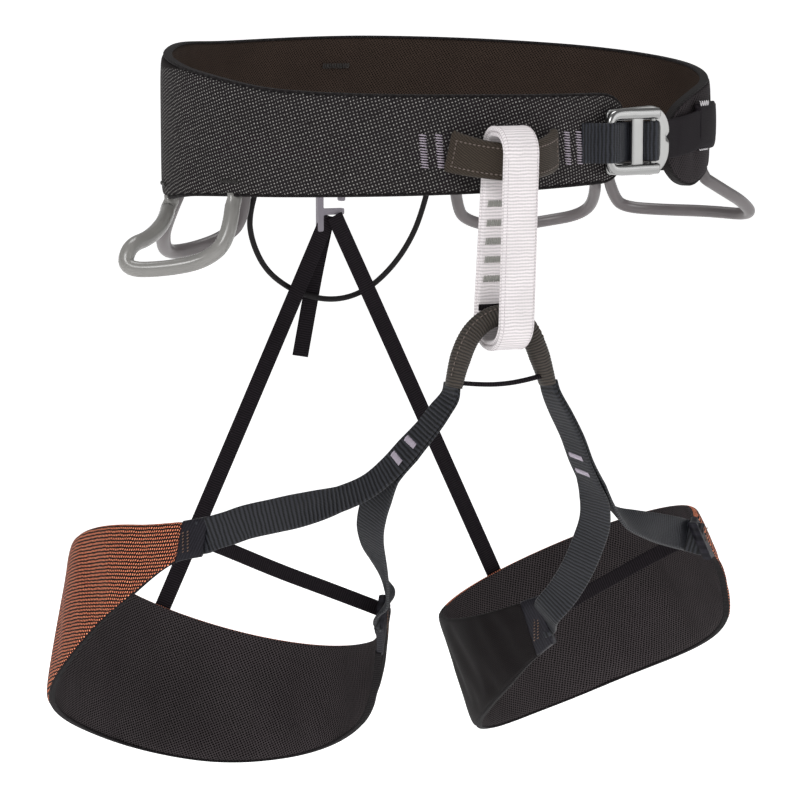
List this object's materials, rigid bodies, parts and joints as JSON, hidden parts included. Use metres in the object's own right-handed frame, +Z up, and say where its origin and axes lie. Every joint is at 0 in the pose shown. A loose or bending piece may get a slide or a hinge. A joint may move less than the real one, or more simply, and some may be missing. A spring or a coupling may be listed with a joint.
{
  "type": "climbing harness",
  "caption": "Padded climbing harness with a buckled waist belt, belay loop, two tie-in points, elastic-hung leg loops, gear loops and a rear haul loop.",
  "frame": {"origin": "centre of the waist opening, at mid height of the belt's back", "axes": "+Z up through the waist, -Y the way the wearer faces, +X the wearer's left"},
  "size_m": [0.3964, 0.2586, 0.3986],
  "materials": {
    "shell_fabric": "woven, light grey dots",
    "liner_mesh": "diagonal mesh",
    "foam": "closed-cell foam",
    "dark_webbing": "ribbed webbing",
    "edge_binding": "folded tape",
    "wear_sleeve": "tight twill",
    "bar_tack_thread": "dense zigzag thread",
    "polished_alloy": "polished",
    "matte_alloy": "satin",
    "pale_webbing": "thick ribbed webbing",
    "black_elastic": "ribbed elastic",
    "leg_fabric": "two-tone basket weave",
    "fused_tab": "fused and stitched",
    "hook_plastic": "moulded",
    "haul_cord": "braided sheath",
    "gear_tube": "satin translucent tube",
    "gear_core": "cord core"
  },
  "bodies": {
    "waist_belt": {"belt_inner_liner": "liner_mesh", "belt_foam_core": "foam", "belt_structural_webbing": "dark_webbing", "belt_outer_shell": "shell_fabric", "belt_upper_binding": "edge_binding", "belt_lower_binding": "edge_binding", "upper_tie_in_webbing": "dark_webbing", "upper_tie_in_sleeve": "wear_sleeve", "front_bar_tacks": "bar_tack_thread", "buckle_anchor_webbing": "dark_webbing", "adjust_strap": "dark_webbing", "strap_keeper": "black_elastic", "lower_tie_in_core": "dark_webbing", "lower_tie_in_sleeve": "wear_sleeve", "lower_cross_strap": "black_elastic", "rear_hook": "hook_plastic", "hook_ring": "black_elastic"},
    "belay_loop_body": {"belay_loop": "pale_webbing", "belay_loop_bar_tacks": "bar_tack_thread", "belay_loop_wear_strip": "black_elastic"},
    "buckle": {"buckle_frame": "matte_alloy", "buckle_slider": "polished_alloy", "buckle_strap_turn": "dark_webbing"},
    "haul_loop_body": {"haul_loop": "haul_cord"},
    "riser_tail_body": {"riser_tail": "black_elastic"},
    "right_leg": {"right_leg_liner": "liner_mesh", "right_leg_foam": "foam", "right_leg_outer": "leg_fabric", "right_leg_lateral_tab": "fused_tab", "right_leg_medial_tab": "fused_tab", "right_leg_elastic": "black_elastic", "right_leg_lateral_webbing": "dark_webbing", "right_leg_medial_webbing": "dark_webbing", "right_leg_bar_tacks": "bar_tack_thread", "right_riser": "black_elastic"},
    "left_leg": {"left_leg_liner": "liner_mesh", "left_leg_foam": "foam", "left_leg_outer": "leg_fabric", "left_leg_lateral_tab": "fused_tab", "left_leg_medial_tab": "fused_tab", "left_leg_elastic": "black_elastic", "left_leg_lateral_webbing": "dark_webbing", "left_leg_medial_webbing": "dark_webbing", "left_leg_bar_tacks": "bar_tack_thread", "left_riser": "black_elastic"},
    "gear_loop_front_right_body": {"gear_loop_front_right": "gear_tube", "gear_loop_front_right_core": "gear_core"},
    "gear_loop_rear_right_body": {"gear_loop_rear_right": "gear_tube", "gear_loop_rear_right_core": "gear_core"},
    "gear_loop_rear_left_body": {"gear_loop_rear_left": "gear_tube", "gear_loop_rear_left_core": "gear_core"},
    "gear_loop_front_left_body": {"gear_loop_front_left": "gear_tube", "gear_loop_front_left_core": "gear_core"}
  },
  "joints": [
    {"name": "belay_loop_swing", "type": "hinge", "parent": "waist_belt", "child": "belay_loop_body", "pos_m": [-0.0085, -0.122, -0.091], "axis": [-1, 0, 0], "range_deg": [-0.3, 0.9]},
    {"name": "buckle_tilt", "type": "hinge", "parent": "waist_belt", "child": "buckle", "pos_m": [0.05753, -0.10972, -0.0085], "axis": [0, 0, -1], "range_deg": [0, 15]},
    {"name": "right_leg_spread", "type": "hinge", "parent": "waist_belt", "child": "right_leg", "pos_m": [-0.036, -0.122, -0.1255], "axis": [0.1334, 0.9503, 0.2813], "range_deg": [0, 25]},
    {"name": "left_leg_spread", "type": "hinge", "parent": "waist_belt", "child": "left_leg", "pos_m": [0.017, -0.122, -0.1265], "axis": [0.0879, -0.954, -0.2866], "range_deg": [0, 25]},
    {"name": "haul_loop_swing", "type": "hinge", "parent": "waist_belt", "child": "haul_loop_body", "pos_m": [0, 0.1, -0.042], "axis": [1, 0, 0], "range_deg": [0, 55]},
    {"name": "riser_tail_swing", "type": "hinge", "parent": "waist_belt", "child": "riser_tail_body", "pos_m": [-0.005, 0.1092, -0.058], "axis": [1, 0, 0], "range_deg": [0, 80]},
    {"name": "gear_loop_front_right_flex", "type": "hinge", "parent": "waist_belt", "child": "gear_loop_front_right_body", "pos_m": [-0.11948, -0.04458, -0.03962], "axis": [-0.219, 0.9728, -0.076], "range_deg": [-15, 32], "stiffness_Nm_per_rad": 0.05},
    {"name": "gear_loop_rear_right_flex", "type": "hinge", "parent": "waist_belt", "child": "gear_loop_rear_right_body", "pos_m": [-0.11667, 0.04883, -0.04469], "axis": [0.7665, 0.642, 0.0149], "range_deg": [-10, 52], "stiffness_Nm_per_rad": 0.05},
    {"name": "gear_loop_rear_left_flex", "type": "hinge", "parent": "waist_belt", "child": "gear_loop_rear_left_body", "pos_m": [0.06831, 0.09809, -0.04359], "axis": [0.8522, -0.5222, 0.0321], "range_deg": [-10, 52], "stiffness_Nm_per_rad": 0.05},
    {"name": "gear_loop_front_left_flex", "type": "hinge", "parent": "waist_belt", "child": "gear_loop_front_left_body", "pos_m": [0.1412, 0.05132, -0.0405], "axis": [0.1726, -0.9819, 0.0782], "range_deg": [-15, 32], "stiffness_Nm_per_rad": 0.05}
  ],
  "couplings": [
    {"joint": "riser_tail_swing", "follows": "haul_loop_swing", "ratio": 1.45}
  ]
}
